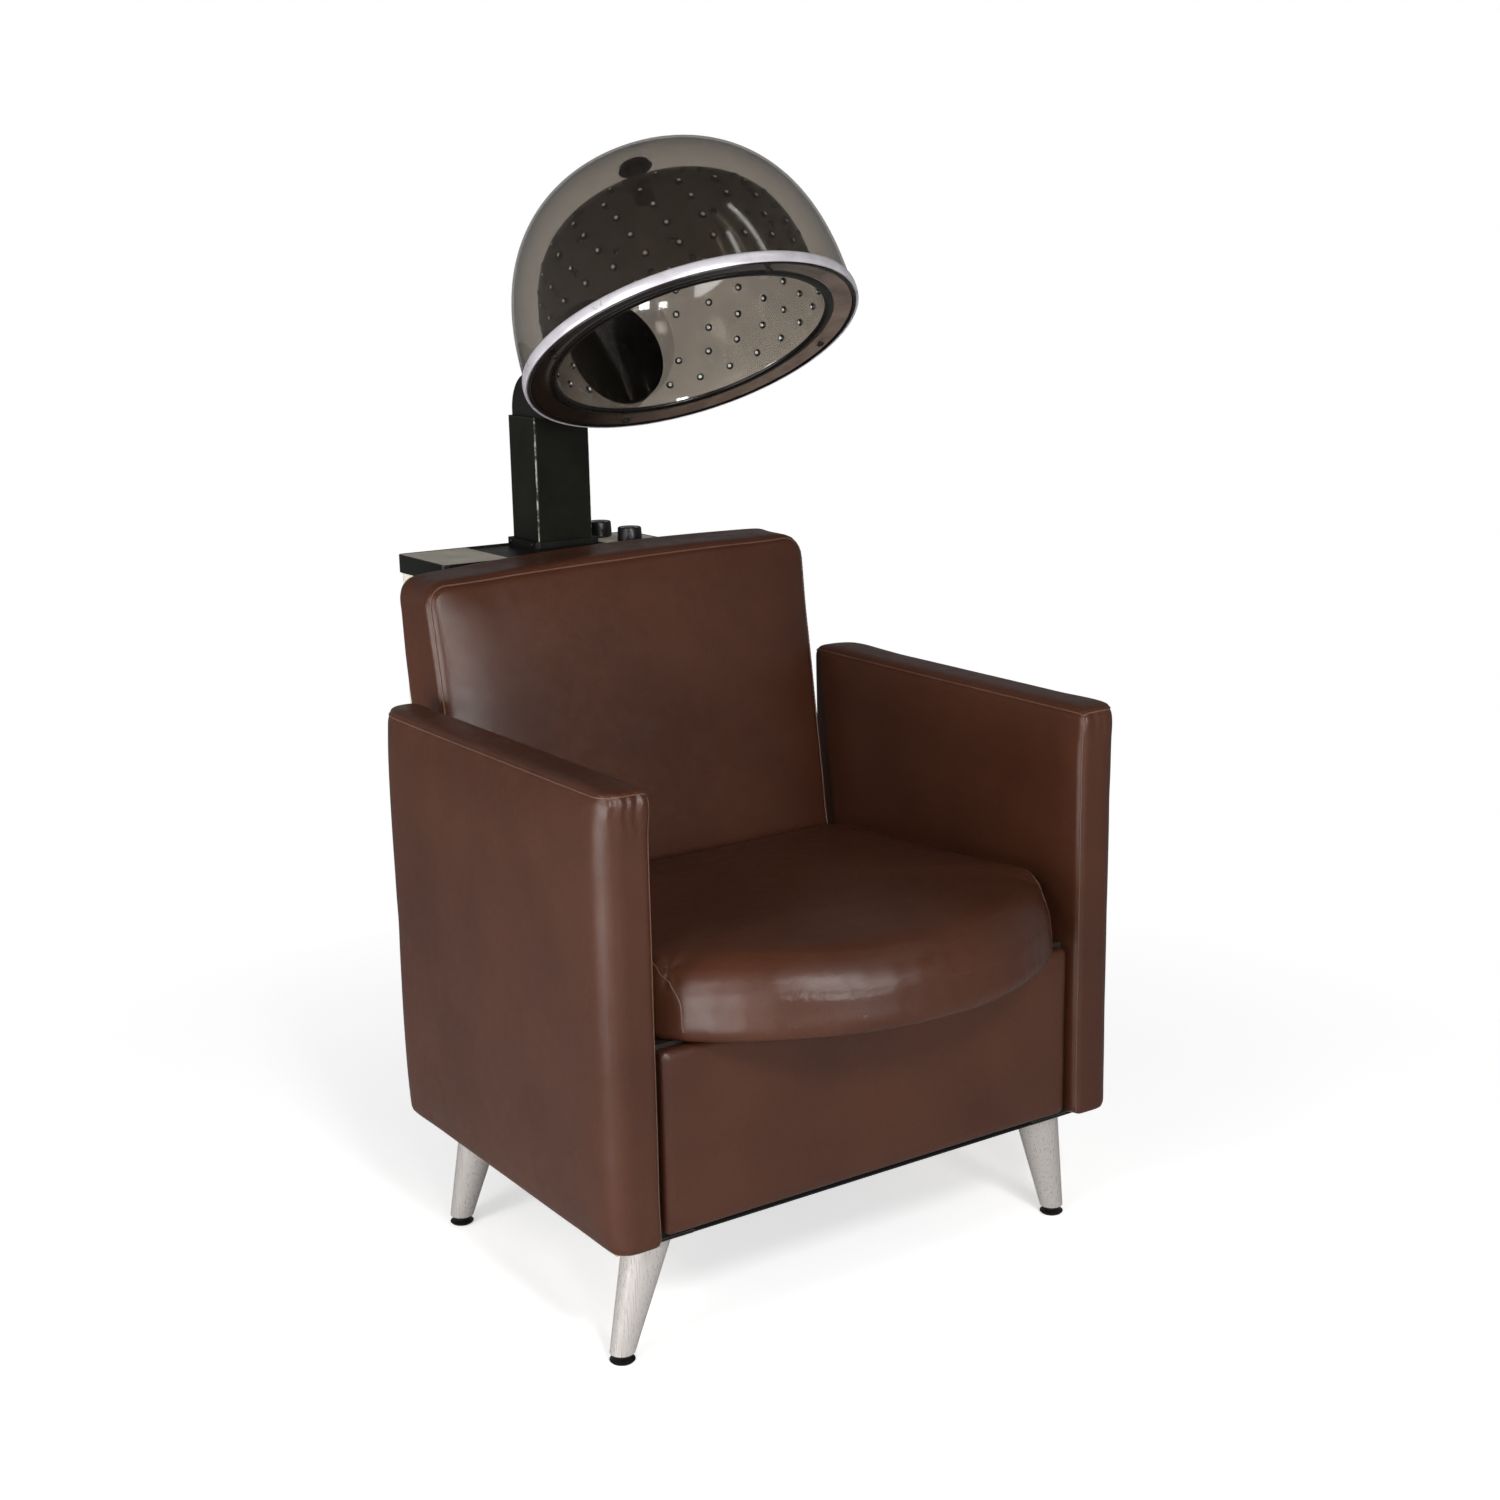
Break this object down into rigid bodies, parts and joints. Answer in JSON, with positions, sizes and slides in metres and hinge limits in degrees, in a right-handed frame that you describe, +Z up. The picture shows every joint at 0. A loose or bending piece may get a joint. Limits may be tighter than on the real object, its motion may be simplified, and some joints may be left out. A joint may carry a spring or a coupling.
{
  "type": "hooded dryer chair",
  "caption": "Upholstered lounge chair with padded arms, a bowed seat and splayed metal legs, and a tilting hood dryer on a telescoping arm over a control box behind the back.",
  "frame": {"origin": "on the floor, under the middle of the whole object's box", "axes": "+X to the sitter's left, +Y from the seat's front to the control box behind the back, +Z up"},
  "size_m": [0.686, 0.8506, 1.2632],
  "materials": {
    "vinyl": "dark brown vinyl on a cloth backing, fine grain, semi-gloss",
    "frame_timber": "planed pine and plywood",
    "dust_cloth": "black non-woven cloth",
    "leg_aluminium": "satin, brushed lengthwise",
    "zinc_steel": "zinc plated",
    "motor_steel": "grey paint",
    "black_steel": "black powder coat, semi-gloss",
    "black_aluminium": "cast, painted black",
    "cream_steel": "cream paint, satin",
    "black_plastic": "moulded, low sheen",
    "ivory_plastic": "moulded",
    "grey_plate": "bare satin plate",
    "cream_plate": "satin plate",
    "silver_trim": "bright, lightly worn",
    "brass": "turned",
    "smoke_dome": "clear smoked acrylic",
    "smoke_bowl": "clear smoked acrylic"
  },
  "bodies": {
    "chair": {"left_arm_frame": "frame_timber", "right_arm_frame": "frame_timber", "left_arm_cover": "vinyl", "right_arm_cover": "vinyl", "base_rails": "frame_timber", "seat_deck": "frame_timber", "seat_cushion": "vinyl", "front_panel": "vinyl", "back_frame": "frame_timber", "back_cushion": "vinyl", "outside_back": "vinyl", "dust_cover": "dust_cloth", "leg_plates": "zinc_steel", "front_left_leg": "leg_aluminium", "front_right_leg": "leg_aluminium", "rear_left_leg": "leg_aluminium", "rear_right_leg": "leg_aluminium", "column_bracket": "black_steel", "mounting_bolts": "zinc_steel", "box_chassis": "cream_steel", "box_cap": "black_plastic", "label_plate": "grey_plate", "control_plate": "cream_plate", "timer_unit": "ivory_plastic", "heat_switch": "ivory_plastic", "terminal_block": "ivory_plastic", "cord_gland": "black_plastic", "column_tube": "black_steel", "column_foot": "black_steel", "column_flange": "black_plastic", "flange_screws": "zinc_steel", "guide_bush": "black_plastic", "arm_bolts": "zinc_steel"},
    "glide_front_left": {"front_left_glide": "zinc_steel"},
    "glide_front_right": {"front_right_glide": "zinc_steel"},
    "glide_rear_left": {"rear_left_glide": "zinc_steel"},
    "glide_rear_right": {"rear_right_glide": "zinc_steel"},
    "timer": {"timer_knob": "black_plastic", "timer_knob_cap": "silver_trim", "timer_shaft": "zinc_steel"},
    "heat": {"heat_knob": "black_plastic", "heat_knob_cap": "silver_trim", "heat_shaft": "zinc_steel"},
    "lift": {"hood_arm": "black_steel", "tilt_pin": "zinc_steel", "friction_washers": "brass"},
    "hood": {"hood_bracket": "black_aluminium", "blower_housing": "black_plastic", "blower_lid": "black_plastic", "motor": "motor_steel", "heater_coil": "zinc_steel", "outer_dome": "smoke_dome", "inner_bowl": "smoke_bowl", "rim_band": "silver_trim", "rim_lip": "black_plastic", "crown_cap": "black_plastic", "crown_spacer": "black_plastic", "rim_clips": "zinc_steel"},
    "fan": {"fan_wheel": "black_plastic", "motor_shaft": "zinc_steel"}
  },
  "joints": [
    {"name": "hood_height", "type": "slide", "parent": "chair", "child": "lift", "axis": [0, 0, 1], "range_m": [0, 0.2]},
    {"name": "hood_tilt", "type": "hinge", "parent": "lift", "child": "hood", "pos_m": [0, 0.32834, 0.96643], "axis": [-1, 0, 0], "range_deg": [-29, 20]},
    {"name": "fan_spin", "type": "hinge", "parent": "hood", "child": "fan", "pos_m": [0, 0.24937, 1.00763], "axis": [0, 0.8678, -0.497], "continuous": true},
    {"name": "timer_turn", "type": "hinge", "parent": "chair", "child": "timer", "pos_m": [0.079, 0.32534, 0.78], "axis": [0, 0, -1], "range_deg": [0, 300]},
    {"name": "heat_turn", "type": "hinge", "parent": "chair", "child": "heat", "pos_m": [0.079, 0.40234, 0.78], "axis": [0, 0, -1], "range_deg": [0, 270]},
    {"name": "front_left_level", "type": "slide", "parent": "chair", "child": "glide_front_left", "axis": [0, 0, -1], "range_m": [0, 0.012]},
    {"name": "front_right_level", "type": "slide", "parent": "chair", "child": "glide_front_right", "axis": [0, 0, -1], "range_m": [0, 0.012]},
    {"name": "rear_left_level", "type": "slide", "parent": "chair", "child": "glide_rear_left", "axis": [0, 0, -1], "range_m": [0, 0.012]},
    {"name": "rear_right_level", "type": "slide", "parent": "chair", "child": "glide_rear_right", "axis": [0, 0, -1], "range_m": [0, 0.012]}
  ]
}
